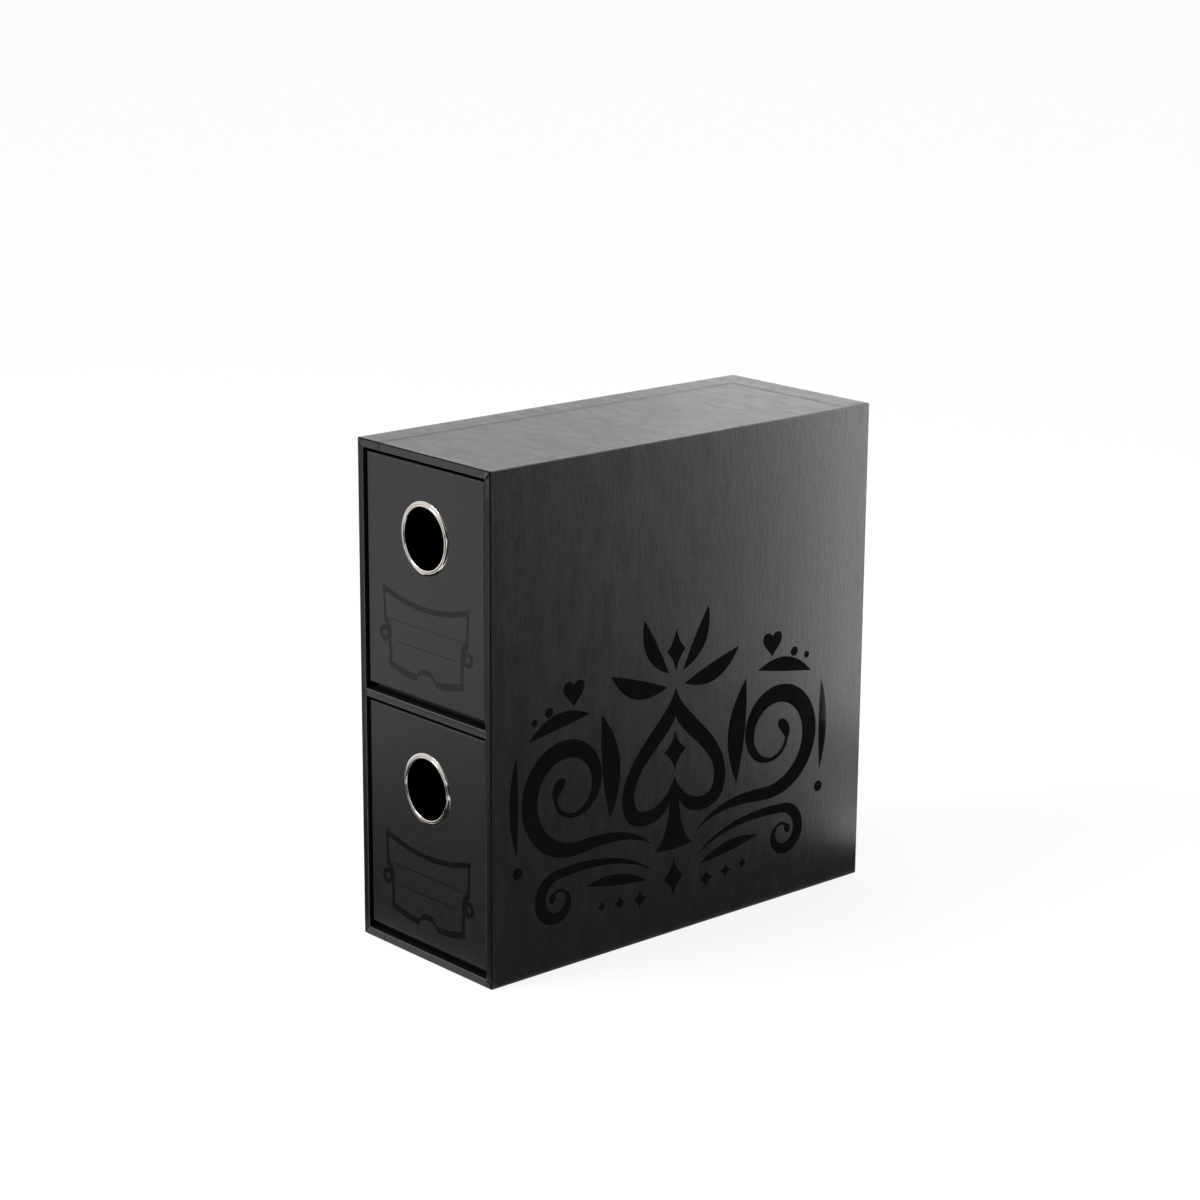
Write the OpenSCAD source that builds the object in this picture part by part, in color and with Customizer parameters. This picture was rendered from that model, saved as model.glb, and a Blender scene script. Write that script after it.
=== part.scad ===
// Slipcase with two card drawers, one above the other.
// Greyboard panels are glued edge to edge and wrapped in black paper, inside and out.
// Each drawer is a wrapped tray with a thicker front panel and a nickel finger hole.
// Frame: X across, front towards -Y, +Z up, origin at the middle of the underside.

/* [Case] */
// Outer width of the case
case_w = 83; // [60:1:160]
// Outer depth of the case, front to back
case_d = 207; // [100:1:400]
// Outer height of the case
case_h = 210; // [190:1:320]
// Thickness of the case's boards
case_board = 3; // [1.5:0.1:5]
// Width of the cover margins glued down on the top and the underside
case_margin = 14; // [8:0.5:25]
// Length by which the back margin on the top is cut back at its free end
margin_taper = 4; // [1:0.5:10]
// Depth to which the covers are turned into the bays
bay_turn_in = 15; // [5:0.5:30]

/* [Paper] */
// Thickness of the covering and lining paper
paper = 0.2; // [0.1:0.05:0.5]

/* [Drawers] */
// Thickness of the drawer's front panel board
panel_board = 3; // [1.5:0.1:5]
// Thickness of the drawer's wall boards
wall_board = 2; // [1:0.1:4]
// Thickness of the drawer's base board
base_board = 3; // [1.5:0.1:5]
// Width of the cover margins behind the front panel and under the base
tray_margin = 12; // [6:0.5:20]
// Depth to which the tray cover is turned in over the wall tops
tray_turn_in = 12; // [6:0.5:20]
// Drop from the front panel's top edge to the tray's rim
rim_drop = 1; // [0.5:0.1:10]

/* [Drawer fit] */
// Gap between the front panel and the bay at each side
panel_side_gap = 1.35; // [0.3:0.05:3]
// Gap above the front panel
panel_top_gap = 1.5; // [0.5:0.1:5]
// Gap below the front panel
panel_foot_gap = 3; // [0.5:0.1:5]
// Depth of the front panel's face behind the case's front edges
panel_recess = 1.1; // [0.5:0.1:5]
// Width by which the front panel stands out past the tray at each side
panel_overhang = 0.3; // [0.1:0.1:2]
// Running gap between the tray and the bay's floor
glide_gap = 0.1; // [0.05:0.05:0.5]
// Gap between the tray and the back of its bay when shut
rear_gap = 0.3; // [0.1:0.1:5]

/* [Finger hole] */
// Height of the hole's centre above the front panel's lower edge
hole_height = 66.2; // [30:0.2:78]
// Clear radius inside the eyelet
eyelet_bore_r = 13.05; // [8:0.05:15]
// Thickness of the eyelet's metal
eyelet_metal = 0.5; // [0.3:0.05:0.8]
// Width of the eyelet's front bead
bead_w = 2.35; // [1.8:0.05:4]
// Height of the front bead above the panel
bead_h = 0.95; // [0.85:0.05:2]
// Gap between the eyelet's barrel and the hole in the boards
barrel_fit = 0.05; // [0.02:0.01:0.3]
// Width of the washer's ring outside the barrel
washer_w = 1.8; // [1:0.1:3]
// Thickness of the washer
washer_t = 0.5; // [0.3:0.1:1]
// Width of the curl that clamps the washer, measured from the bore
curl_w = 1.3; // [0.9:0.1:1.8]
// Height of the curl above the washer
curl_h = 0.6; // [0.3:0.1:1]

/* [Hidden] */
// Straight edges in a bead's curve, and in a full circle
bead_steps = 12;
round_fn = 96;
// Overrun of every cut
cut = 1;

cover_colour = "#28282a";
lining_colour = "#1e1e20";
board_colour = "#8d8980";
nickel_colour = "#cfc8be";

// Width over which a sheet climbs onto a glued margin
lap = paper;
// Wrapped walls: one sheet on each face, or a sheet and a margin on the outer one
side_wall = paper + case_board + paper;
deck = paper + paper + case_board + paper;

// Case, across: outer face, boards' outer face, boards' inner face and bay wall
case_x = case_w / 2;
board_x = case_x - paper;
core_x = board_x - case_board;
bay_x = case_x - side_wall;

// Case, front to back
front_y = -case_d / 2;
back_y = case_d / 2;
board_front_y = front_y + paper;
board_back_y = back_y - paper;
core_back_y = board_back_y - case_board;
bay_back_y = core_back_y - paper;
turn_y = front_y + bay_turn_in;

// Case, upwards
board_foot_z = paper + paper;
board_top_z = case_h - board_foot_z;
cover_foot_z = paper;
cover_top_z = case_h - paper;
bay_h = (case_h - deck - deck - side_wall) / 2;
shelf_z = deck + bay_h + paper;

// Corners of the glued margins, seen from above
margin_x = case_x - case_margin;
margin_y = back_y - case_margin;
band_x = margin_x - lap;
band_y = margin_y - lap;
taper_x = board_x - margin_taper;

// Drawer, across
panel_x = bay_x - panel_side_gap;
tray_x = panel_x - panel_overhang;

// Drawer, front to back
panel_y = front_y + panel_recess;
panel_board_y = panel_y + paper;
panel_back_y = panel_board_y + panel_board;
tray_y = panel_back_y + paper;
tray_back_y = bay_back_y - rear_gap;

// Drawer, upwards from its bay's floor
margin_z = glide_gap + paper;
base_z = margin_z + paper;
base_top_z = base_z + base_board;
tray_floor_z = base_top_z + paper;
panel_foot_z = panel_foot_gap;
panel_top_z = bay_h - panel_top_gap;
rim_z = panel_top_z - rim_drop;
wall_top_z = rim_z - paper;
turn_z = rim_z - tray_turn_in;

// Insets from the tray's outer faces
board_inset = paper;
wall_inset = board_inset + wall_board;
inner_inset = wall_inset + paper;

// Finger hole
hole_z = panel_foot_z + hole_height;
board_hole_r = eyelet_bore_r + eyelet_metal + barrel_fit;
bead_r = eyelet_bore_r + bead_w / 2;
washer_y = tray_y + inner_inset;
barrel_end = washer_y + washer_t - panel_y;

// The bays and their drawers, from the bottom up
tiers = [0, 1];
tier_names = ["lower", "upper"];
case_parts = [
    "left_side_board", "right_side_board", "top_board", "bottom_board", "back_board", "shelf_board",
    "left_cover", "back_cover", "main_cover", "bottom_cover", "shelf_cover"
];
drawer_parts = [
    "front_board", "front_cover", "front_wall", "left_wall", "right_wall", "back_wall",
    "base_board", "tray_cover", "base_cover", "tray_lining", "eyelet", "eyelet_washer"
];

function tier_node(tier, part) = str(tier_names[tier], "_", part);
function bay_floor_z(tier) = deck + tier * (bay_h + side_wall);

// Box between two places along each axis
module block(x, y, z) {
    translate([x[0], y[0], z[0]])
        cube([x[1] - x[0], y[1] - y[0], z[1] - z[0]]);
}

// Level slab between two heights, with an outline seen from above
module slab(z, outline) {
    translate([0, 0, z[0]])
        linear_extrude(z[1] - z[0]) polygon(outline);
}

// One sheet of paper over the case's front edges, with an outline seen from the front
module lip(outline) {
    translate([0, board_front_y, 0])
        rotate([90, 0, 0]) linear_extrude(paper) polygon(outline);
}

// Margins that are folded onto the top and the underside, mitred where two meet
side_margin = [
    [case_x, board_front_y], [case_x, back_y], [margin_x, margin_y], [margin_x, board_front_y]
];
lower_back_margin = [
    [-board_x, back_y], [-board_x, board_back_y], [-margin_x, margin_y],
    [margin_x, margin_y], [board_x, board_back_y], [board_x, back_y]
];
upper_back_margin = [
    [-board_x, back_y], [-board_x, board_back_y], [-margin_x, margin_y],
    [taper_x, margin_y], [board_x, back_y]
];

// Case boards

module side_board(side) {
    color(board_colour)
        mirror([side < 0 ? 1 : 0, 0, 0])
            block([core_x, board_x], [board_front_y, board_back_y], [board_foot_z, board_top_z]);
}

module left_side_board() {
    side_board(-1);
}

module right_side_board() {
    side_board(1);
}

// Board between the sides, from the front edges to a place at the back
module cross_board(end_y, z) {
    color(board_colour)
        block([-core_x, core_x], [board_front_y, end_y], [z, z + case_board]);
}

module top_board() {
    cross_board(board_back_y, board_top_z - case_board);
}

module bottom_board() {
    cross_board(board_back_y, board_foot_z);
}

module shelf_board() {
    cross_board(core_back_y, shelf_z);
}

module back_board() {
    color(board_colour)
        block(
            [-core_x, core_x],
            [core_back_y, board_back_y],
            [board_foot_z + case_board, board_top_z - case_board]
        );
}

// Case covers

// Parts of a side's cover that both sides share: the panel, the lower margin
// and the pieces turned round the board's front edge into the two bays
module side_cover() {
    block([board_x, case_x], [board_front_y, back_y], [cover_foot_z, cover_top_z]);
    slab([cover_foot_z, board_foot_z], side_margin);
    for (tier = tiers)
        block(
            [bay_x, core_x],
            [board_front_y, turn_y],
            [bay_floor_z(tier) - paper, bay_floor_z(tier) + bay_h + paper]
        );
}

module left_cover() {
    color(cover_colour) {
        mirror([1, 0, 0]) {
            side_cover();
            slab([board_top_z, cover_top_z], side_margin);
        }
        lip([
            [-case_x, cover_foot_z], [-bay_x, deck],
            [-bay_x, case_h - deck], [-case_x, cover_top_z]
        ]);
    }
}

module back_cover() {
    color(cover_colour) {
        block([-board_x, board_x], [board_back_y, back_y], [cover_foot_z, cover_top_z]);
        slab([cover_foot_z, board_foot_z], lower_back_margin);
        slab([board_top_z, cover_top_z], upper_back_margin);
    }
}

// One sheet for the right side and the top, which rides up over the two margins
// glued to the top board, so that a band stands proud along the left and back edges
module main_cover() {
    color(cover_colour) {
        side_cover();
        difference() {
            block([-case_x, case_x], [board_front_y, back_y], [board_top_z, case_h]);
            // Room for the margins underneath
            slab([board_top_z - cut, cover_top_z], [
                [-case_x - cut, board_front_y - cut], [-margin_x, board_front_y - cut],
                [-margin_x, margin_y], [taper_x, margin_y], [board_x, back_y],
                [board_x, back_y + cut], [-case_x - cut, back_y + cut]
            ]);
            // Step down from the band
            slab([cover_top_z, case_h + cut], [
                [-band_x, board_front_y - cut], [case_x + cut, board_front_y - cut],
                [case_x + cut, back_y], [case_x, back_y], [taper_x + lap, band_y], [-band_x, band_y]
            ]);
        }
        lip([
            [-case_x, cover_top_z], [-bay_x, case_h - deck], [bay_x, case_h - deck],
            [bay_x, deck], [case_x, cover_foot_z], [case_x, cover_top_z],
            [-band_x, cover_top_z], [-band_x, case_h], [-case_x, case_h]
        ]);
        block([-bay_x, bay_x], [board_front_y, turn_y], [case_h - deck, case_h - deck + paper]);
    }
}

// Sheet on the underside: the case stands on the band where it laps the three margins
module bottom_cover() {
    color(cover_colour) {
        difference() {
            block([-case_x, case_x], [board_front_y, back_y], [0, board_foot_z]);
            // Room for the margins above
            slab([cover_foot_z, board_foot_z + cut], [
                [-case_x - cut, board_front_y - cut], [-margin_x, board_front_y - cut],
                [-margin_x, margin_y], [margin_x, margin_y], [margin_x, board_front_y - cut],
                [case_x + cut, board_front_y - cut], [case_x + cut, back_y + cut],
                [-case_x - cut, back_y + cut]
            ]);
            // Step up from the band
            block([-band_x, band_x], [board_front_y - cut, band_y], [-cut, cover_foot_z]);
        }
        lip([
            [-case_x, 0], [-band_x, 0], [-band_x, cover_foot_z], [band_x, cover_foot_z],
            [band_x, 0], [case_x, 0], [case_x, cover_foot_z], [bay_x, deck],
            [-bay_x, deck], [-case_x, cover_foot_z]
        ]);
        block([-bay_x, bay_x], [board_front_y, turn_y], [deck - paper, deck]);
    }
}

module shelf_cover() {
    color(cover_colour)
        difference() {
            block(
                [-bay_x, bay_x],
                [front_y, turn_y],
                [shelf_z - paper, shelf_z + case_board + paper]
            );
            block(
                [-bay_x - cut, bay_x + cut],
                [board_front_y, turn_y + cut],
                [shelf_z, shelf_z + case_board]
            );
        }
}

// Paper on the five inner faces of a bay, from the turn-ins to the back
module bay_lining(tier) {
    floor_z = bay_floor_z(tier);
    ceiling_z = floor_z + bay_h;
    color(lining_colour)
        difference() {
            block([-core_x, core_x], [turn_y, core_back_y], [floor_z - paper, ceiling_z + paper]);
            block([-bay_x, bay_x], [turn_y - cut, bay_back_y], [floor_z, ceiling_z]);
        }
}

// Drawers, drawn upwards from the bay's floor

module in_bay(tier) {
    translate([0, 0, bay_floor_z(tier)])
        children();
}

// Hole through whatever stands between two places behind the drawer's front
module finger_hole(y) {
    translate([0, y[0], hole_z])
        rotate([-90, 0, 0]) cylinder(r = board_hole_r, h = y[1] - y[0], $fn = round_fn);
}

// Upright box inset from the tray's outer faces
module tray_block(inset, z) {
    block([inset - tray_x, tray_x - inset], [tray_y + inset, tray_back_y - inset], z);
}

// Rectangular ring between two insets from the tray's outer faces
module tray_ring(outer, inner, z) {
    difference() {
        tray_block(outer, z);
        tray_block(inner, [z[0] - cut, z[1] + cut]);
    }
}

module front_board(tier) {
    color(board_colour)
        in_bay(tier)
            difference() {
                block(
                    [paper - panel_x, panel_x - paper],
                    [panel_board_y, panel_back_y],
                    [panel_foot_z + paper, panel_top_z - paper]
                );
                finger_hole([panel_board_y - cut, panel_back_y + cut]);
            }
}

// Sheet over the panel's face and round its edges, with margins glued down behind
module front_cover(tier) {
    color(cover_colour)
        in_bay(tier)
            difference() {
                block([-panel_x, panel_x], [panel_y, tray_y], [panel_foot_z, panel_top_z]);
                block(
                    [paper - panel_x, panel_x - paper],
                    [panel_board_y, panel_back_y],
                    [panel_foot_z + paper, panel_top_z - paper]
                );
                block(
                    [tray_margin - panel_x, panel_x - tray_margin],
                    [panel_board_y, tray_y + cut],
                    [panel_foot_z + tray_margin, panel_top_z - tray_margin]
                );
                finger_hole([panel_y - cut, tray_y + cut]);
            }
}

module base_board(tier) {
    color(board_colour)
        in_bay(tier) tray_block(board_inset, [base_z, base_top_z]);
}

// Wall across the tray, standing on the base
module end_wall(y) {
    block([board_inset - tray_x, tray_x - board_inset], [y, y + wall_board], [base_top_z, wall_top_z]);
}

module front_wall(tier) {
    color(board_colour)
        in_bay(tier)
            difference() {
                end_wall(tray_y + board_inset);
                finger_hole([tray_y - cut, washer_y + cut]);
            }
}

module back_wall(tier) {
    color(board_colour)
        in_bay(tier) end_wall(tray_back_y - wall_inset);
}

// Wall along the tray, standing on the base between the two end walls
module long_wall(side) {
    color(board_colour)
        mirror([side < 0 ? 1 : 0, 0, 0])
            block(
                [tray_x - wall_inset, tray_x - board_inset],
                [tray_y + wall_inset, tray_back_y - wall_inset],
                [base_top_z, wall_top_z]
            );
}

module left_wall(tier) {
    in_bay(tier) long_wall(-1);
}

module right_wall(tier) {
    in_bay(tier) long_wall(1);
}

// Lining on the inside of the front wall, up to the fold over the wall's top
module front_lining() {
    block(
        [wall_inset - tray_x, tray_x - wall_inset],
        [tray_y + wall_inset, washer_y],
        [base_top_z, wall_top_z]
    );
}

// Sheet round the four walls: folded under the base and over the wall tops,
// and turned in along the back and the two long walls
module tray_cover(tier) {
    color(cover_colour)
        in_bay(tier)
            difference() {
                tray_block(0, [margin_z, rim_z]);
                tray_block(tray_margin, [margin_z - cut, base_z + cut]);
                tray_block(board_inset, [base_z, turn_z]);
                tray_ring(board_inset, wall_inset, [base_z, wall_top_z]);
                tray_block(inner_inset, [base_z, rim_z + cut]);
                front_lining();
                finger_hole([tray_y - cut, washer_y + cut]);
            }
}

// Sheet under the base, which rides down over the tray cover's margins
module base_cover(tier) {
    color(cover_colour)
        in_bay(tier)
            difference() {
                tray_block(0, [glide_gap, base_z]);
                tray_ring(-cut, tray_margin, [margin_z, base_z + cut]);
                tray_block(tray_margin + lap, [glide_gap - cut, margin_z]);
            }
}

// Paper on the tray's floor and up its walls, to the turned-in cover
// and on the front wall to the wall's top
module tray_lining(tier) {
    color(lining_colour)
        in_bay(tier)
            difference() {
                union() {
                    tray_block(wall_inset, [base_top_z, turn_z]);
                    front_lining();
                }
                tray_block(inner_inset, [tray_floor_z, turn_z + cut]);
                finger_hole([tray_y - cut, washer_y + cut]);
            }
}

// Places along a half ellipse from its outer foot, over its crest, to its inner foot
function half_ellipse(mid_r, half_w, height, base) = [
    for (i = [0 : bead_steps])
        let (a = 180 * i / bead_steps)
            [mid_r + half_w * cos(a), base - height * sin(a)]
];

function backwards(list) = [for (i = [1 : len(list)]) list[len(list) - i]];

// Section through the eyelet's metal: front bead, barrel, and the curl over the washer.
// The second value counts back from the panel's face.
eyelet_section = concat(
    half_ellipse(bead_r, bead_w / 2, bead_h, 0),
    backwards(half_ellipse(eyelet_bore_r + curl_w / 2, curl_w / 2, -curl_h, barrel_end)),
    [[eyelet_bore_r + eyelet_metal, barrel_end]],
    backwards(half_ellipse(bead_r, bead_w / 2 - eyelet_metal, bead_h - eyelet_metal, 0))
);

module eyelet(tier) {
    color(nickel_colour)
        in_bay(tier)
            translate([0, panel_y, hole_z])
                rotate([-90, 0, 0]) rotate_extrude($fn = round_fn) polygon(eyelet_section);
}

module eyelet_washer(tier) {
    color(nickel_colour)
        in_bay(tier)
            translate([0, washer_y, hole_z])
                rotate([-90, 0, 0])
                    difference() {
                        cylinder(r = board_hole_r + washer_w, h = washer_t, $fn = round_fn);
                        translate([0, 0, -cut])
                            cylinder(r = board_hole_r, h = washer_t + cut + cut, $fn = round_fn);
                    }
}

left_side_board();
right_side_board();
top_board();
bottom_board();
back_board();
shelf_board();
left_cover();
back_cover();
main_cover();
bottom_cover();
shelf_cover();
for (tier = tiers) {
    bay_lining(tier);
    front_board(tier);
    front_cover(tier);
    front_wall(tier);
    left_wall(tier);
    right_wall(tier);
    back_wall(tier);
    base_board(tier);
    tray_cover(tier);
    base_cover(tier);
    tray_lining(tier);
    eyelet(tier);
    eyelet_washer(tier);
}
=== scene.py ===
import math

import bmesh
import bpy
from mathutils import Matrix, Vector


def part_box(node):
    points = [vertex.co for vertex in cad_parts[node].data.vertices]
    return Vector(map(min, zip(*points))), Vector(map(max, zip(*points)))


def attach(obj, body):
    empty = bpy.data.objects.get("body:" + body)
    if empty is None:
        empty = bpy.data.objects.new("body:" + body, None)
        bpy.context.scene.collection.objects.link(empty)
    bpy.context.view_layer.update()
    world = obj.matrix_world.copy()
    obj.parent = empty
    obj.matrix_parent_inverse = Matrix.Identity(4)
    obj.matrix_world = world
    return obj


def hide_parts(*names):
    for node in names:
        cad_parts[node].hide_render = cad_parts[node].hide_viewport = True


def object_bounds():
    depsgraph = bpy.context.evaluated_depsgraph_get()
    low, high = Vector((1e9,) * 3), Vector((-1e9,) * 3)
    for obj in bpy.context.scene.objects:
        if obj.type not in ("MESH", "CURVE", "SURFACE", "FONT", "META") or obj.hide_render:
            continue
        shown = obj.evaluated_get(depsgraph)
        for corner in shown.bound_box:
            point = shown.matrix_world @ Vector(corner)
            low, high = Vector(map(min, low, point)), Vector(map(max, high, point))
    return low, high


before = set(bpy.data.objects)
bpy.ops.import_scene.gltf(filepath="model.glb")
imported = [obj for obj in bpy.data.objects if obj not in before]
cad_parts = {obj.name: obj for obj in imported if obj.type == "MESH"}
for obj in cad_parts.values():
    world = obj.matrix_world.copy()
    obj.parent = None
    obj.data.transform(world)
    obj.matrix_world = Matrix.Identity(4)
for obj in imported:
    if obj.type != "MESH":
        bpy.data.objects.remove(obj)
cad_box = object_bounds()

MM = 0.001
TIERS = ("lower", "upper")

# Camera, on the picture's own line of sight
CAMERA_AT = Vector((0.8983, -0.8064, 0.4581))
CAMERA_AZIMUTH = math.radians(-48.4705)
CAMERA_DIP = math.radians(15.0568)
CAMERA_ROLL = math.radians(0.3653)
CAMERA_LENS = 90.2145
CAMERA_SENSOR = 36
CAMERA_NEAR = 10 * MM

# Places read from the frame
CASE_LO, CASE_HI = cad_box
PAPER = CASE_HI.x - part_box("right_side_board")[1].x
BAYS = [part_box(f"{tier}_bay_lining") for tier in TIERS]
TURN_Y = BAYS[0][0].y
BAY_X = BAYS[0][1].x - PAPER
BAY_Z = [(lo.z + PAPER, hi.z - PAPER) for lo, hi in BAYS]
SIDE_WALL = CASE_HI.x - BAY_X
DECK = BAY_Z[0][0]
MARGIN_X, MARGIN_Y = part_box("left_cover")[1].x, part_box("back_cover")[0].y
PANELS = [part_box(f"{tier}_front_cover") for tier in TIERS]
WASHERS = [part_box(f"{tier}_eyelet_washer") for tier in TIERS]
EYELETS = [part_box(f"{tier}_eyelet") for tier in TIERS]

# Paper folded over a board's edge
FOLD_R = 0.65 * MM
FOLD_STEPS = 4
SHEET = 0.95 * PAPER
GRID = 4 * MM
# Slope where a sheet climbs over a margin that is glued underneath
RIDGE_W = 2.4 * MM
RIDGE_STEPS = 6
# Height that a doubled sheet adds on the front edges, and the width of its step
LIP_STEP = 0.15 * MM
LIP_STEP_W = 0.6 * MM
LIP_SLICES = 4
# Folds across the front edges' corners: their half width, and as shares of it how far they are
# marked, where their crest starts and where they are sliced
CREASE_W = 0.45 * MM
CREASE_REACH = 1.2
CREASE_CREST = 0.1
CREASE_SLICES = (-1.2, -0.8, -0.4, 0, 0.4, 0.8, 1.2)
# Bright line where the shelf's strip is cut off at its right end
SHELF_END_W = 0.35 * MM
# Printed film: raised so little that it only changes the gloss
FILM = 0.03 * MM
# Painted highlight at the top of the right front edge: its length and how strong it is
TOP_LIP_HIGHLIGHT_REACH = 13 * MM
TOP_LIP_HIGHLIGHT = 2.5
# Fold marks of a corner of the mesh: red carries wear and painted highlights, green the painted shade of
# seams and creases
PLAIN_MARK = (0, 0, 0, 1)
WORN_MARK = (1, 0, 0, 1)
# A crease's crest: wear and a painted highlight
CREST_MARK = (4, 0, 0, 1)
SHELF_END_MARK = (5, 0, 0, 1)
# Painted shade in a crease, and along the seams below
CREASE_SHADE_MARK = (0, 0.9, 0, 1)
TOP_SEAM_SHADE_MARK = (0, 1, 0, 1)
SIDE_SEAM_SHADE_MARK = (0, 0.8, 0, 1)
# Share of the fold's radius that a seam takes up, and the green above which a face gets the dark inner
# paper as painted shade
SEAM_SPAN = (0.02, 0.8)
SEAM_SHADE = 0.7
# Paper deeper in the case than this lies out of the light
INNER_DEPTH = 0.8 * FOLD_R
# Eyelet, a little smaller and lower than its solid
EYELET_SHY = 0.45 * MM
EYELET_LOW = 0.25 * MM
# Its face from rim to bore: a flange (width in, share of height) and a raised lip
EYELET_FACE = 2.4 * MM
EYELET_FLANGE = (
    (0.03 * MM, 0.10), (0.09 * MM, 0.19), (0.18 * MM, 0.26), (0.6 * MM, 0.47), (0.9 * MM, 0.62),
    (1.1 * MM, 0.70), (1.18 * MM, 0.66), (1.24 * MM, 0.58), (1.3 * MM, 0.55),
)
EYELET_LIP = 1.1 * MM
EYELET_LIP_FOOT = 0.1
# Radius of the curl at its back, and the thickness of its metal
EYELET_CURL = 0.65 * MM
EYELET_METAL = 0.5 * MM
# Steps of a half round in its section, and of its turn round the hole
EYELET_ROUNDING = 16
EYELET_STEPS = 160
# Finger hole: how far the washer laps the paper round it, and the bit that cuts it
WASHER_LAP = 1.8 * MM
BIT_LENGTH = 40 * MM
BIT_SIDES = 96
BIT_SLACK = 1.01
# Paper turned in over the tray's walls
TRAY_TURN_IN = 12 * MM
# Back margin under the top sheet: how far short of the right edge its slanted end starts
MARGIN_TAPER = 4.4 * MM
TINY = 0.01 * MM
# Least cosine between a face's normal and an axis, for faces that lean to it more or less
SLIGHT = 0.1
HALFWAY = 0.5
LEANING = 0.7
FACING = 0.9
STRAIGHT = 0.99
SHARP_ANGLE = math.radians(30)


def add_object(name, data):
    added = bpy.data.objects.new(name, data)
    bpy.context.collection.objects.link(added)
    return added


def mesh_object(name, bm):
    mesh = bpy.data.meshes.new(name)
    bm.to_mesh(mesh)
    bm.free()
    return add_object(name, mesh)


def place_camera():
    heading = Vector((math.sin(CAMERA_AZIMUTH), math.cos(CAMERA_AZIMUTH), 0))
    forward = heading * math.cos(CAMERA_DIP) - Vector((0, 0, math.sin(CAMERA_DIP)))
    level = Vector((heading.y, -heading.x, 0))
    upright = level.cross(forward)
    right = level * math.cos(CAMERA_ROLL) + upright * math.sin(CAMERA_ROLL)
    up = upright * math.cos(CAMERA_ROLL) - level * math.sin(CAMERA_ROLL)
    lens = bpy.data.cameras.new("camera")
    lens.lens = CAMERA_LENS
    lens.sensor_width = CAMERA_SENSOR
    lens.clip_start = CAMERA_NEAR
    camera = add_object("camera", lens)
    turn = Matrix((right, up, -forward)).transposed()
    camera.matrix_world = Matrix.Translation(CAMERA_AT) @ turn.to_4x4()
    bpy.context.scene.camera = camera


# Shader tools and the groups that several finishes share

# Stretch of a noise's range that most of its values lie in
NOISE_SPAN = (0.35, 0.65)
# The Mix node's sockets for colours
MIX_FIRST = 6
MIX_SECOND = 7
MIX_RESULT = 2


def new_group(name, inputs, outputs):
    group = bpy.data.node_groups.new(name, "ShaderNodeTree")
    for title, kind, value in inputs:
        socket = group.interface.new_socket(title, in_out="INPUT", socket_type=kind)
        if value is not None:
            socket.default_value = value
    for title, kind in outputs:
        group.interface.new_socket(title, in_out="OUTPUT", socket_type=kind)
    entry = group.nodes.new("NodeGroupInput")
    leave = group.nodes.new("NodeGroupOutput")
    return group, entry, leave


def add_node(tree, kind, sockets=(), **settings):
    """A node whose sockets are set, or linked from another node's output."""
    node = tree.nodes.new(kind)
    for key, value in settings.items():
        setattr(node, key, value)
    for key, value in sockets:
        socket = node.inputs[key]
        if isinstance(value, bpy.types.NodeSocket):
            tree.links.new(value, socket)
        else:
            socket.default_value = value
    return node


def noise_mask(tree, vector, rate, detail, roughness):
    """Noise with a given number of features to the metre, the same or one for each axis."""
    scale = rate if isinstance(rate, tuple) else (rate, rate, rate)
    mapping = add_node(tree, "ShaderNodeMapping", [("Vector", vector), ("Scale", scale)])
    sockets = [("Vector", mapping.outputs[0]), ("Scale", 1.0), ("Detail", detail), ("Roughness", roughness)]
    return add_node(tree, "ShaderNodeTexNoise", sockets).outputs["Fac"]


def math_node(tree, operation, first, second=0.0, clamp=False):
    sockets = [(0, first), (1, second)]
    return add_node(tree, "ShaderNodeMath", sockets, operation=operation, use_clamp=clamp).outputs[0]


def add_masks(tree, *parts):
    """Sum of masks, each times its share."""
    total = None
    for mask, share in parts:
        part = math_node(tree, "MULTIPLY", mask, share)
        total = part if total is None else math_node(tree, "ADD", total, part)
    return total


def remap(tree, value, span, result):
    """Carries a mask from one span of values to another."""
    ends = [("From Min", span[0]), ("From Max", span[1]), ("To Min", result[0]), ("To Max", result[1])]
    return add_node(tree, "ShaderNodeMapRange", [("Value", value)] + ends).outputs[0]


def mix_colours(tree, factor, first, second):
    sockets = [("Factor", factor), (MIX_FIRST, first), (MIX_SECOND, second)]
    return add_node(tree, "ShaderNodeMix", sockets, data_type="RGBA").outputs[MIX_RESULT]


def ramp(tree, value, low, high):
    node = add_node(tree, "ShaderNodeValToRGB", [("Fac", value)])
    for stop, place, colour in zip(node.color_ramp.elements, NOISE_SPAN, (low, high)):
        stop.position = place
        stop.color = (*colour, 1)
    return node.outputs["Color"]


def add_relief(tree, shader, height, strength, depth):
    """Bump on the shader's normal, from a height mask."""
    sockets = [("Strength", strength), ("Distance", depth), ("Height", height)]
    bump = add_node(tree, "ShaderNodeBump", sockets)
    tree.links.new(bump.outputs["Normal"], shader.inputs["Normal"])


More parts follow.
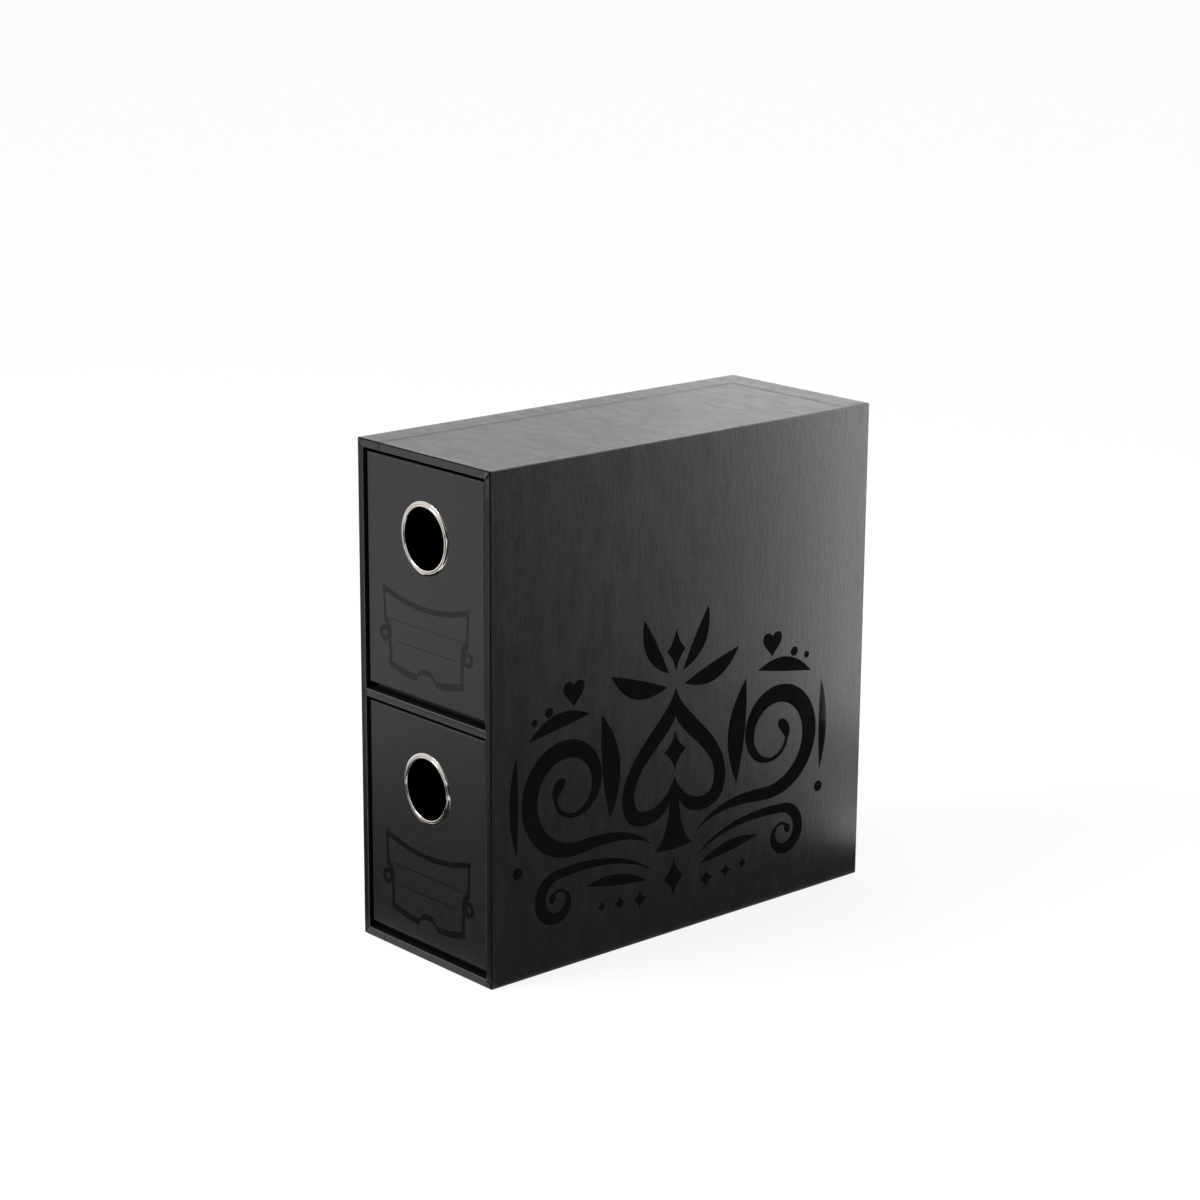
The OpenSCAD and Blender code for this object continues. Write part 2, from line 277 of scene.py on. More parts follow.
def paper_grain_group():
    """Embossed fibre grain, drawn out along one axis: height and mottle masks."""
    group, entry, leave = new_group(
        "paper_grain",
        [("Vector", "NodeSocketVector", None), ("Stretch", "NodeSocketVector", (1, 1, 1))],
        [("Height", "NodeSocketFloat"), ("Mottle", "NodeSocketFloat")],
    )
    vector = entry.outputs["Vector"]
    stretch = [(0, vector), (1, entry.outputs["Stretch"])]
    stretched = add_node(group, "ShaderNodeVectorMath", stretch, operation="MULTIPLY").outputs[0]
    fibre = noise_mask(group, stretched, rate=1100, detail=4.0, roughness=0.6)
    clump = noise_mask(group, stretched, rate=330, detail=3.0, roughness=0.55)
    pore = noise_mask(group, vector, rate=3200, detail=2.0, roughness=0.5)
    cloud = noise_mask(group, stretched, rate=90, detail=2.0, roughness=0.5)
    group.links.new(add_masks(group, (fibre, 0.5), (clump, 1.0), (pore, 0.18)), leave.inputs["Height"])
    group.links.new(add_masks(group, (clump, 0.6), (cloud, 0.4)), leave.inputs["Mottle"])
    return group


def fold_wear_highlight_group():
    """Wear along the folds, with painted highlights on the crease crests and the right front edge's top,
    broken up by noise.
    """
    group, entry, leave = new_group(
        "fold_wear_and_highlight",
        [("Vector", "NodeSocketVector", None), ("Fold", "NodeSocketFloat", 0.0)],
        [("Wear and highlight", "NodeSocketFloat")],
    )
    patches = noise_mask(group, entry.outputs["Vector"], rate=(700, 700, 260), detail=3.0, roughness=0.6)
    patches = remap(group, patches, span=(0.42, 0.72), result=(0.3, 1.0))
    group.links.new(math_node(group, "MULTIPLY", patches, entry.outputs["Fold"]), leave.inputs["Wear and highlight"])
    return group


PAPER_GRAIN = paper_grain_group()
FOLD_WEAR_HIGHLIGHT = fold_wear_highlight_group()


# Finishes

PAPER_TINT = (1.05, 1, 1.08)
PAPER_ROUGHNESS = (0.33, 0.45)
# Paler paper for wear along the folds and for painted highlights
WEAR_AND_HIGHLIGHT_PAPER = (0.22, 0.22, 0.222, 1)
WEAR_AND_HIGHLIGHT_SHARE = 0.2
# Painted shade in the seams and creases
PAINTED_SEAM_SHADE = (0.002, 0.002, 0.002, 1)
SHEEN_TINT = (1.0, 0.955, 1.0, 1.0)
# Depth of the embossing, and of finer tooth and print
EMBOSSED = 0.1 * MM
FINE_TOOTH = 0.05 * MM
PRINTED = 0.04 * MM


def new_material(name):
    material = bpy.data.materials.new(name)
    material.use_nodes = True
    tree = material.node_tree
    shader = tree.nodes["Principled BSDF"]
    coordinates = tree.nodes.new("ShaderNodeTexCoord").outputs["Object"]
    return material, tree, shader, coordinates


def cover_paper(name, stretch, relief=0.65, gloss=0.3025, dark=0.0235, light=0.0305):
    """Black embossed paper; the fold marks carry wear and painted highlights in red, and the painted shade
    of seams and creases in green.
    """
    material, tree, shader, coordinates = new_material(name)
    grain_inputs = [("Vector", coordinates), ("Stretch", stretch)]
    grain = add_node(tree, "ShaderNodeGroup", grain_inputs, node_tree=PAPER_GRAIN)
    mottle = grain.outputs["Mottle"]
    fold = add_node(tree, "ShaderNodeAttribute", attribute_name="fold").outputs["Color"]
    marks = add_node(tree, "ShaderNodeSeparateColor", [("Color", fold)])
    wear_highlight_inputs = [("Vector", coordinates), ("Fold", marks.outputs["Red"])]
    wear_highlight = add_node(tree, "ShaderNodeGroup", wear_highlight_inputs, node_tree=FOLD_WEAR_HIGHLIGHT)
    base = ramp(tree, mottle, [dark * part for part in PAPER_TINT], [light * part for part in PAPER_TINT])
    wear_and_highlight = math_node(tree, "MULTIPLY", wear_highlight.outputs["Wear and highlight"], WEAR_AND_HIGHLIGHT_SHARE)
    worn_and_highlighted = mix_colours(tree, wear_and_highlight, base, WEAR_AND_HIGHLIGHT_PAPER)
    shaded = mix_colours(tree, marks.outputs["Green"], worn_and_highlighted, PAINTED_SEAM_SHADE)
    tree.links.new(shaded, shader.inputs["Base Color"])
    rough = remap(tree, mottle, span=(0.3, 0.7), result=PAPER_ROUGHNESS)
    tree.links.new(rough, shader.inputs["Roughness"])
    shader.inputs["Specular IOR Level"].default_value = gloss
    shader.inputs["Specular Tint"].default_value = SHEEN_TINT
    add_relief(tree, shader, grain.outputs["Height"], strength=relief, depth=EMBOSSED)
    return material


def inner_shade_paper():
    """Darker, matt copy of the same paper: painted shade where it is turned into the bays and lies out of
    the light, and in the seams and creases.
    """
    material, tree, shader, coordinates = new_material("inner_shade_paper")
    grain = add_node(tree, "ShaderNodeGroup", [("Vector", coordinates)], node_tree=PAPER_GRAIN)
    base = ramp(tree, grain.outputs["Mottle"], low=(0.0035, 0.0035, 0.0037), high=(0.006, 0.006, 0.0064))
    tree.links.new(base, shader.inputs["Base Color"])
    shader.inputs["Roughness"].default_value = 0.7
    shader.inputs["Specular IOR Level"].default_value = 0.06
    add_relief(tree, shader, grain.outputs["Height"], strength=0.3, depth=FINE_TOOTH)
    return material


def lining_paper():
    material, tree, shader, coordinates = new_material("lining_paper")
    tooth = noise_mask(tree, coordinates, rate=2400, detail=3.0, roughness=0.6)
    cloud = noise_mask(tree, coordinates, rate=150, detail=3.0, roughness=0.5)
    base = ramp(tree, cloud, low=(0.007, 0.007, 0.0075), high=(0.012, 0.012, 0.0125))
    tree.links.new(base, shader.inputs["Base Color"])
    rough = remap(tree, tooth, span=(0.3, 0.7), result=(0.72, 0.88))
    tree.links.new(rough, shader.inputs["Roughness"])
    shader.inputs["Specular IOR Level"].default_value = 0.25
    add_relief(tree, shader, tooth, strength=0.4, depth=FINE_TOOTH)
    return material


def greyboard():
    material, tree, shader, coordinates = new_material("greyboard")
    pulp = noise_mask(tree, coordinates, rate=(900, 900, 2600), detail=4.0, roughness=0.65)
    fleck = noise_mask(tree, coordinates, rate=2600, detail=2.0, roughness=0.5)
    tone = add_masks(tree, (pulp, 0.65), (fleck, 0.35))
    base = ramp(tree, tone, low=(0.16, 0.15, 0.13), high=(0.33, 0.31, 0.28))
    tree.links.new(base, shader.inputs["Base Color"])
    shader.inputs["Roughness"].default_value = 0.92
    add_relief(tree, shader, tone, strength=0.5, depth=EMBOSSED)
    return material


def nickel():
    material, tree, shader, coordinates = new_material("nickel")
    shader.inputs["Metallic"].default_value = 1.0
    stain = noise_mask(tree, coordinates, rate=260, detail=3.0, roughness=0.5)
    base = ramp(tree, stain, low=(0.60, 0.56, 0.51), high=(0.69, 0.65, 0.60))
    tree.links.new(base, shader.inputs["Base Color"])
    scuff = noise_mask(tree, coordinates, rate=1800, detail=3.0, roughness=0.6)
    rough = remap(tree, scuff, span=(0.35, 0.75), result=(0.07, 0.13))
    tree.links.new(rough, shader.inputs["Roughness"])
    return material


def black_print(name, roughness):
    """Smooth black ink film; its gloss drifts a little with how the ink flowed."""
    material, tree, shader, coordinates = new_material(name)
    flow = noise_mask(tree, coordinates, rate=140, detail=2.0, roughness=0.5)
    base = ramp(tree, flow, low=(0.009, 0.009, 0.0095), high=(0.011, 0.011, 0.0115))
    tree.links.new(base, shader.inputs["Base Color"])
    rough = remap(tree, flow, span=(0.2, 0.8), result=roughness)
    tree.links.new(rough, shader.inputs["Roughness"])
    shader.inputs["Specular IOR Level"].default_value = 0.13
    shader.inputs["Specular Tint"].default_value = SHEEN_TINT
    add_relief(tree, shader, flow, strength=0.1, depth=PRINTED)
    return material


# How much finer or longer the grain runs along X, Y and Z: upright on walls, across on level faces
UPRIGHT_GRAIN = (2.0, 2.0, 0.6)
LEVEL_GRAIN = (0.6, 2.0, 2.0)
PANEL_GRAIN = (3.4, 3.4, 2.6)

PAPER_UPRIGHT = cover_paper("cover_paper_upright", UPRIGHT_GRAIN)
PAPER_ACROSS = cover_paper("cover_paper_across", LEVEL_GRAIN, relief=0.6, gloss=0.30)
PAPER_FRONT = cover_paper(
    "cover_paper_front", PANEL_GRAIN, relief=0.4, gloss=0.26, dark=0.0195, light=0.0255
)
# Darker, duller copy of the upright paper for the upright front edges: painted shade
PAPER_LIP_SHADE = cover_paper("cover_paper_lip_shade", UPRIGHT_GRAIN, gloss=0.14, dark=0.013, light=0.015)
INNER_SHADE_PAPER = inner_shade_paper()
LINING = lining_paper()
GREYBOARD = greyboard()
NICKEL = nickel()
GLOSS_PRINT = black_print("gloss_print", roughness=(0.07, 0.10))
SATIN_PRINT = black_print("satin_print", roughness=(0.24, 0.30))

# The case's papers, in the order of its sheets' material slots
CASE_PAPERS = (PAPER_UPRIGHT, PAPER_ACROSS, INNER_SHADE_PAPER, PAPER_LIP_SHADE)
UPRIGHT, LEVEL, INNER, LIP = range(len(CASE_PAPERS))


# Mesh tools


def box_form(lo, hi):
    bm = bmesh.new()
    bmesh.ops.create_cube(bm, size=1)
    bmesh.ops.scale(bm, vec=hi - lo, verts=bm.verts)
    bmesh.ops.translate(bm, vec=(lo + hi) / 2, verts=bm.verts)
    bm.normal_update()
    return bm


def slice_plane(bm, faces, point, normal):
    """Divides faces along a plane."""
    edges = {edge for face in faces for edge in face.edges}
    corners = {corner for face in faces for corner in face.verts}
    geometry = list(corners) + list(edges) + list(faces)
    bmesh.ops.bisect_plane(bm, geom=geometry, dist=TINY / 10, plane_co=point, plane_no=normal)


def cut(bm, axis, place, faces=None):
    """Divides faces where one coordinate has a given value."""
    normal = Vector([float(axis == letter) for letter in "xyz"])
    slice_plane(bm, list(faces or bm.faces), normal * place, normal)


def spread(low, high, step):
    """Places that divide a stretch evenly, without its two ends."""
    count = max(1, round((high - low) / step))
    return [low + (high - low) * i / count for i in range(1, count)]


def new_piece(name, bm, materials, body, nodes=()):
    piece = mesh_object(name, bm)
    piece.data.shade_smooth()
    for material in materials:
        piece.data.materials.append(material)
    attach(piece, body)
    if nodes:
        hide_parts(*nodes)
    return piece


def thicken(piece, thickness):
    solid = piece.modifiers.new("thickness", "SOLIDIFY")
    solid.thickness = thickness
    solid.offset = -1
    solid.use_even_offset = True
    piece.modifiers.new("flat_faces", "WEIGHTED_NORMAL").keep_sharp = True


def fold_edges(bm, edges):
    """Rounds the edges that the paper is folded over, and marks them for wear."""
    mark = bm.verts.layers.float_color.new("fold")
    rounded = set(bmesh.ops.bevel(
        bm, geom=edges, offset=FOLD_R, offset_type="OFFSET", segments=FOLD_STEPS,
        profile=0.5, affect="EDGES", material=-1, clamp_overlap=True,
    )["faces"])
    for corner in bm.verts:
        is_rounded = all(face in rounded for face in corner.link_faces)
        corner[mark] = WORN_MARK if is_rounded else PLAIN_MARK
    return mark


def sharp_edges(bm):
    return [
        edge for edge in bm.edges
        if len(edge.link_faces) == 2 and edge.is_convex and edge.calc_face_angle() > SHARP_ANGLE
    ]


# Case: one wrapped form, parted into its sheets


def case_form():
    """The wrapped case with its two bay mouths, as one skin."""
    bm = box_form(CASE_LO, CASE_HI)
    for x in (-BAY_X, BAY_X):
        cut(bm, "x", x)
    for floor_z, ceiling_z in BAY_Z:
        cut(bm, "z", floor_z)
        cut(bm, "z", ceiling_z)
    for floor_z, ceiling_z in BAY_Z:
        centres = {face: face.calc_center_median() for face in bm.faces}
        mouth = [
            face for face, centre in centres.items()
            if centre.y < CASE_LO.y + TINY and abs(centre.x) < BAY_X and floor_z < centre.z < ceiling_z
        ]
        inner = bmesh.ops.extrude_discrete_faces(bm, faces=mouth)["faces"]
        bmesh.ops.translate(bm, vec=(0, TURN_Y - CASE_LO.y, 0), verts=inner[0].verts)
        bmesh.ops.delete(bm, geom=inner, context="FACES_ONLY")
    bmesh.ops.recalc_face_normals(bm, faces=bm.faces)
    bm.normal_update()
    return bm


COVERS = ("left_cover", "back_cover", "main_cover", "bottom_cover", "shelf_cover")


def height_outside(at):
    """How far a place lies outside the case; below zero inside it."""
    return max(abs(at.x) - CASE_HI.x, abs(at.y) - CASE_HI.y, at.z - CASE_HI.z, -at.z)


def cover_of(face):
    """The sheet that a face of the wrapped case belongs to."""
    at = face.calc_center_median()
    reach = {
        "left_cover": (at.x - CASE_LO.x) / SIDE_WALL,
        "main_cover": min((CASE_HI.x - at.x) / SIDE_WALL, (CASE_HI.z - at.z) / DECK),
        "bottom_cover": at.z / DECK,
    }
    is_inside = height_outside(at) < -SIDE_WALL / 2
    if at.y < CASE_LO.y + FOLD_R or is_inside or face.normal.y < -HALFWAY:
        nearest = min(reach, key=reach.get)
        return nearest if reach[nearest] < 1 + TINY / SIDE_WALL else "shelf_cover"
    if face.normal.z > STRAIGHT:
        return "main_cover"
    if face.normal.z < -STRAIGHT:
        return "bottom_cover"
    if abs(face.normal.x) > SLIGHT:
        return "left_cover" if at.x < 0 else "main_cover"
    return "back_cover"


def ease(t):
    t = min(1.0, max(0.0, t))
    return t * t * (3 - 2 * t)


def past_slant(x, y):
    """Distance beyond the slanted end of the back margin."""
    along = Vector((MARGIN_TAPER, CASE_HI.y - MARGIN_Y)).normalized()
    return (x - CASE_HI.x + MARGIN_TAPER) * along.y - (y - MARGIN_Y) * along.x


def top_relief(x, y):
    """How far the top sheet stands below its raised band, from 0 to 1."""
    from_left = (x - MARGIN_X + RIDGE_W / 2) / RIDGE_W
    from_back = (MARGIN_Y - y + RIDGE_W / 2) / RIDGE_W
    past_end = (past_slant(x, y) + RIDGE_W / 2) / RIDGE_W
    return ease(from_left) * max(ease(from_back), ease(past_end))


def lip_relief(x, z):
    """Depth of the front edges' paper behind its doubled corners, from 0 to 1."""
    if DECK + FOLD_R < z < CASE_HI.z - DECK - FOLD_R:
        return 1.0
    inside = -MARGIN_X - abs(x) if z < DECK * 2 else x - MARGIN_X
    return ease((inside + LIP_STEP_W / 2) / LIP_STEP_W)


def mitre_distance(x, z, side, from_top):
    """Distance across the fold that runs from a mouth's corner to the case's corner."""
    across = (CASE_HI.x - side * x) / SIDE_WALL
    along = (CASE_HI.z - z if from_top else z) / DECK
    return (across - along) * SIDE_WALL * DECK / math.hypot(SIDE_WALL, DECK)


def press_lips(bm, mark):
    """Lets the front edges' paper down between its doubled corners, and marks its creases with painted
    shade, their crests with wear and a painted highlight, and the top of the right edge with a painted
    highlight.
    """
    shelf_lo, shelf_hi = BAY_Z[0][1] - TINY, BAY_Z[1][0] + TINY
    for corner in bm.verts:
        x, y, z = corner.co
        if y > CASE_LO.y + TINY:
            continue
        depth = lip_relief(x, z)
        # Painted highlight towards the top of the right front edge, carried in the red wear mark
        wear_and_highlight = max(0.0, 1 - (CASE_HI.z - z) / TOP_LIP_HIGHLIGHT_REACH) if x > BAY_X + TINY else 0.0
        corner[mark] = (max(corner[mark][0], TOP_LIP_HIGHLIGHT * wear_and_highlight), 0, 0, 1)
        step = min(abs(x - MARGIN_X), abs(x + MARGIN_X) if z < DECK else 1)
        if step < LIP_STEP_W / 3 and not DECK < z < CASE_HI.z - DECK:
            corner[mark] = CREASE_SHADE_MARK
        if shelf_lo < z < shelf_hi and abs(x - BAY_X) < SHELF_END_W / 2:
            corner[mark] = SHELF_END_MARK
        for side in (-1, 1):
            for from_top in (False, True):
                near_end = (CASE_HI.z - z if from_top else z) < DECK + TINY
                if near_end and CASE_HI.x - side * x < SIDE_WALL + TINY:
                    away = mitre_distance(x, z, side, from_top) / CREASE_W
                    depth = ease(abs(away)) if abs(away) < 1 else 1.0
                    if abs(away) < CREASE_REACH:
                        corner[mark] = CREST_MARK if away > CREASE_CREST else CREASE_SHADE_MARK
        corner.co.y += LIP_STEP * depth


def mark_seams(bm, mark):
    """Painted shade along the lines where the paper turns over the front's top and right edges."""
    low, high = SEAM_SPAN
    for corner in bm.verts:
        x, y, z = corner.co
        if not low < (y - CASE_LO.y) / FOLD_R < high:
            continue
        if low < (CASE_HI.z - z) / FOLD_R < high:
            corner[mark] = TOP_SEAM_SHADE_MARK
        elif low < (CASE_HI.x - x) / FOLD_R < high:
            corner[mark] = SIDE_SEAM_SHADE_MARK


def grid_case(bm):
    """Grid for the sheets' slopes, denser where a margin ends."""
    for x in spread(CASE_LO.x, CASE_HI.x, GRID):
        cut(bm, "x", x)
    for y in spread(CASE_LO.y, CASE_HI.y, GRID):
        cut(bm, "y", y)
    for z in spread(0, CASE_HI.z, GRID):
        cut(bm, "z", z)
    for i in range(RIDGE_STEPS + 1):
        step = RIDGE_W * (i / RIDGE_STEPS - 0.5)
        for side in (-1, 1):
            cut(bm, "x", side * (MARGIN_X + step))
        cut(bm, "y", MARGIN_Y + step)


def front_faces(bm):
    return [face for face in bm.faces if face.calc_center_median().y < CASE_LO.y + FOLD_R]


def slice_mitres(bm):
    """Slices along the folds from the mouths' corners to the case's corners."""
    for side in (-1, 1):
        for z, up in ((0, 1), (CASE_HI.z, -1)):
            corner = Vector((side * CASE_HI.x, CASE_LO.y, z))
            mitre = Vector((DECK, 0, side * up * SIDE_WALL)).normalized()
            for share in CREASE_SLICES:
                near = [
                    face for face in front_faces(bm)
                    if (face.calc_center_median() - corner).length < SIDE_WALL * 2
                ]
                slice_plane(bm, near, corner + mitre * (CREASE_W * share), mitre)


def slice_lip_steps(bm):
    """Slices where the front edges' paper steps down, and at the shelf's end."""
    steps = [
        side * (MARGIN_X + LIP_STEP_W * (i / LIP_SLICES - 0.5))
        for i in range(LIP_SLICES + 1) for side in (-1, 1)
    ]
    for x in steps + [BAY_X - SHELF_END_W, BAY_X + SHELF_END_W]:
        cut(bm, "x", x, front_faces(bm))


def sort_faces(bm):
    """Gives each face the number of its sheet, and its paper."""
    number = bm.faces.layers.int.new("cover")
    for face in bm.faces:
        face[number] = COVERS.index(cover_of(face))
        # Paper out of the light inside the case gets the dark inner paper: painted shade
        if height_outside(face.calc_center_median()) < -INNER_DEPTH:
            face.material_index = INNER
        else:
            face.material_index = LEVEL if abs(face.normal.z) > LEANING else UPRIGHT


def press_sheets(bm):
    """Lets the paper down where no margin lies under it, and makes room for the ornament's film."""
    for corner in bm.verts:
        if corner.co.z > CASE_HI.z - TINY:
            corner.co.z -= PAPER * top_relief(corner.co.x, corner.co.y)
        if corner.co.z < TINY:
            corner.co.z += PAPER * top_relief(-abs(corner.co.x), corner.co.y)
        if corner.co.x > CASE_HI.x - TINY:
            corner.co.x -= FILM


def shade_front(bm, mark):
    """Painted shade: the dark inner paper in the seams and creases, and a darker, duller copy of the paper
    on the upright front edges.
    """
    for face in bm.faces:
        if all(corner[mark][1] > SEAM_SHADE for corner in face.verts):
            face.material_index = INNER
        elif face.normal.y < -FACING and abs(face.calc_center_median().x) > BAY_X:
            face.material_index = LIP


def wrapped_case():
    bm = case_form()
    mark = fold_edges(bm, sharp_edges(bm))
    grid_case(bm)
    slice_mitres(bm)
    slice_lip_steps(bm)
    bm.normal_update()
    mark_seams(bm, mark)
    sort_faces(bm)
    press_sheets(bm)
    press_lips(bm, mark)
    shade_front(bm, mark)
    for i, name in enumerate(COVERS):
        part = bm.copy()
        layer = part.faces.layers.int["cover"]
        others = [face for face in part.faces if face[layer] != i]
        bmesh.ops.delete(part, geom=others, context="FACES")
        piece = new_piece(f"{name}_sheet", part, CASE_PAPERS, "case", (name,))
        thicken(piece, SHEET)
    bm.free()


# Drawers


def hole_centre(i):
    lo, hi = EYELETS[i]
    return Vector(((lo.x + hi.x) / 2, 0, (lo.z + hi.z) / 2))


def hole_radius(i):
    lo, hi = WASHERS[i]
    return (hi.x - lo.x) / 2 - WASHER_LAP


def front_panel_cover(i):
    bm = box_form(*PANELS[i])
    fold_edges(bm, sharp_edges(bm))
    bm.normal_update()
    back = [face for face in bm.faces if face.normal.y > FACING]
    bmesh.ops.delete(bm, geom=back, context="FACES_ONLY")
    name = f"{TIERS[i]}_front_cover"
    body = f"{TIERS[i]}_drawer"
    piece = new_piece(f"{name}_sheet", bm, (PAPER_FRONT,), body, (name,))
    thicken(piece, SHEET)
    drill(piece, hole_centre(i), hole_radius(i))


def evaluated_mesh(piece):
    return bpy.data.meshes.new_from_object(piece.evaluated_get(bpy.context.evaluated_depsgraph_get()))


def drill(piece, centre, radius):
    """Cuts a round hole through a piece along Y."""
    along_y = Matrix.Translation((centre.x, CASE_LO.y, centre.z)) @ Matrix.Rotation(math.pi / 2, 4, "X")
    bm = bmesh.new()
    bmesh.ops.create_cone(
        bm, cap_ends=True, segments=BIT_SIDES, radius1=radius, radius2=radius,
        depth=BIT_LENGTH, matrix=along_y,
    )
    bit = mesh_object("drill", bm)
    bore = piece.modifiers.new("bore", "BOOLEAN")
    bore.object = bit
    bore.solver = "EXACT"
    piece.modifiers.move(len(piece.modifiers) - 1, 1)
    settled = evaluated_mesh(piece)
    settled.name = piece.name
    piece.modifiers.clear()
    piece.data = settled
    for corner, mark in zip(settled.vertices, settled.attributes["fold"].data):
        if math.hypot(corner.co.x - centre.x, corner.co.z - centre.z) < radius * BIT_SLACK:
            mark.color = PLAIN_MARK
    bpy.data.objects.remove(bit)


def eyelet_section(outer_r, front_y, panel_y, curl_y):
    """Half section, radius by depth: sloping flange, groove, raised lip, barrel and curl."""
    rise = panel_y - front_y
    bore_r = outer_r - EYELET_FACE
    lip_r = bore_r + EYELET_LIP / 2
    groove = EYELET_FLANGE[-1][1]
    outline = [(outer_r, panel_y)]
    for across, height in EYELET_FLANGE:
        outline.append((outer_r - across, panel_y - rise * height))
    for k in range(EYELET_ROUNDING + 1):
        a = math.pi * k / EYELET_ROUNDING
        foot = groove if a < math.pi / 2 else EYELET_LIP_FOOT
        height = foot + (1 - foot) * math.sin(a)
        outline.append((lip_r + EYELET_LIP / 2 * math.cos(a), panel_y - rise * height))
    for k in range(EYELET_ROUNDING + 1):
        a = math.pi * (1 - k / EYELET_ROUNDING)
        outline.append((bore_r + EYELET_CURL * (1 + math.cos(a)), curl_y - EYELET_CURL * (1 - math.sin(a))))
    outline.append((bore_r + EYELET_METAL, curl_y - EYELET_CURL))
    outline.append((bore_r + EYELET_METAL, panel_y))
    return outline


def eyelet_ring(i):
    """Nickel ring spun round the hole."""
    lo, hi = EYELETS[i]
    outer_r = (hi.x - lo.x) / 2 - EYELET_SHY
    outline = eyelet_section(outer_r, lo.y + EYELET_LOW, PANELS[i][0].y, hi.y)
    bm = bmesh.new()
    corners = [bm.verts.new((r, y, 0)) for r, y in outline]
    edges = [bm.edges.new((a, b)) for a, b in zip(corners, corners[1:] + corners[:1])]
    bmesh.ops.spin(
        bm, geom=corners + edges, cent=(0, 0, 0), axis=(0, 1, 0), dvec=(0, 0, 0),
        angle=math.tau, steps=EYELET_STEPS, use_merge=True,
    )
    bmesh.ops.remove_doubles(bm, verts=bm.verts, dist=TINY / 10)
    bmesh.ops.recalc_face_normals(bm, faces=bm.faces)
    bmesh.ops.translate(bm, vec=hole_centre(i), verts=bm.verts)
    name = f"{TIERS[i]}_eyelet"
    new_piece(f"{name}_ring", bm, (NICKEL,), f"{TIERS[i]}_drawer", (name,))


def tray_cover(i):
    """Sheet round the tray's walls, rounded over their tops and turned in."""
    name = f"{TIERS[i]}_tray_cover"
    body = f"{TIERS[i]}_drawer"
    lo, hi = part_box(name)
    lining_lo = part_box(f"{TIERS[i]}_tray_lining")[0]
    turn_in_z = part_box(f"{TIERS[i]}_back_wall")[1].z - TRAY_TURN_IN + PAPER
    bm = box_form(lo, hi)
    rim = [face for face in bm.faces if face.normal.z > FACING]
    bmesh.ops.inset_region(bm, faces=rim, thickness=lining_lo.x + PAPER - lo.x, use_even_offset=True)
    well = bmesh.ops.extrude_discrete_faces(bm, faces=rim)["faces"]
    bmesh.ops.translate(bm, vec=(0, 0, turn_in_z - hi.z), verts=well[0].verts)
    bmesh.ops.delete(bm, geom=well, context="FACES_ONLY")
    bmesh.ops.recalc_face_normals(bm, faces=bm.faces)
    bm.normal_update()
    fold_edges(bm, sharp_edges(bm))
    piece = new_piece(f"{name}_sheet", bm, (PAPER_UPRIGHT,), body, (name,))
    thicken(piece, SHEET)
    drill(piece, hole_centre(i), hole_radius(i))


# Print: flat outlines in real sizes, made into thin films


def arc(start, end, sag, steps=16):
    """Points from start up to, but without, end, bowed to the left of the way by sag."""
    start, end = Vector(start), Vector(end)
    way = end - start
    left = Vector((-way.y, way.x)).normalized()
    return [start + way * t + left * (4 * sag * t * (1 - t)) for t in (k / steps for k in range(steps))]


def circle(centre, radius, steps=40):
    return [
        Vector(centre) + radius * Vector((math.cos(math.tau * k / steps), math.sin(math.tau * k / steps)))
        for k in range(steps)
    ]


def mirrored(outline, middle=0.0):
    return [Vector((2 * middle - point.x, point.y)) for point in outline]


def film(name, outlines, place, height, body, finish):
    """Closed outlines in millimetres, filled between odd and even loops, as one thin film."""
    flat = bpy.data.curves.new(name, "CURVE")
    flat.dimensions = "2D"
    flat.fill_mode = "BOTH"
    flat.extrude = height / 2
    for outline in outlines:
        spline = flat.splines.new("POLY")
        spline.points.add(len(outline) - 1)
        for point, at in zip(spline.points, outline):
            point.co = (at.x * MM, at.y * MM, 0, 1)
        spline.use_cyclic_u = True
    drawn = add_object(name, flat)
    settled = evaluated_mesh(drawn)
    bm = bmesh.new()
    bm.from_mesh(settled)
    bmesh.ops.remove_doubles(bm, verts=bm.verts, dist=TINY / 20)
    bmesh.ops.transform(bm, matrix=place @ Matrix.Translation((0, 0, height / 2)), verts=bm.verts)
    bmesh.ops.recalc_face_normals(bm, faces=bm.faces)
    bpy.data.objects.remove(drawn)
    bpy.data.meshes.remove(settled)
    piece = new_piece(name, bm, (finish,), body)
    piece.data.shade_flat()
    return piece


# The ornament's scale and its place on the side
ORNAMENT_SCALE = 0.93
ORNAMENT_Y = -6 * MM
ORNAMENT_Z = 2 * MM
# The label frame's corners and rings, in millimetres from the middle of the panel's foot
LABEL_TIP = (27.4, 43.0)
LABEL_INNER_TIP = (25.7, 40.0)
LABEL_TOP_SAG = 4.6
LABEL_INNER_SAG = 3.9
LABEL_RING = (26.2, 22.6)
LABEL_RING_R = (3.4, 1.35)
LABEL_LINES = ((28.9, 23.2), (20.4, 19.2))
LABEL_LINE_H = 0.36
# The rings lie over the frame, so their film is a little higher
RING_FILM = FILM * 1.2
# A scroll's coil, and its stroke's half-widths along its length from 0 to 1
COIL_STEPS = 56
COIL_CLOSING = 0.80
COIL_PACE = 0.9
SWELL_END = 1.25
SWELL_LEAN = 0.8
EYE_AT = 0.93
EYE_REACH = 0.07
EYE_SIZE = 0.62
TAIL_SIZE = 0.22
TAIL_RISE = 4
TAIL_END = 0.99
HAIR_LINE = 0.12
LOZENGE_HOLLOW = 0.18
# Points of a half outline that lie this near its middle line aren't repeated on the other side
ON_MIDDLE = 0.01


def label_half(points):
    """Closed outline from its right half, which runs from the top tip to the middle of the foot."""
    return points + [Vector((-point.x, point.y)) for point in reversed(points)]


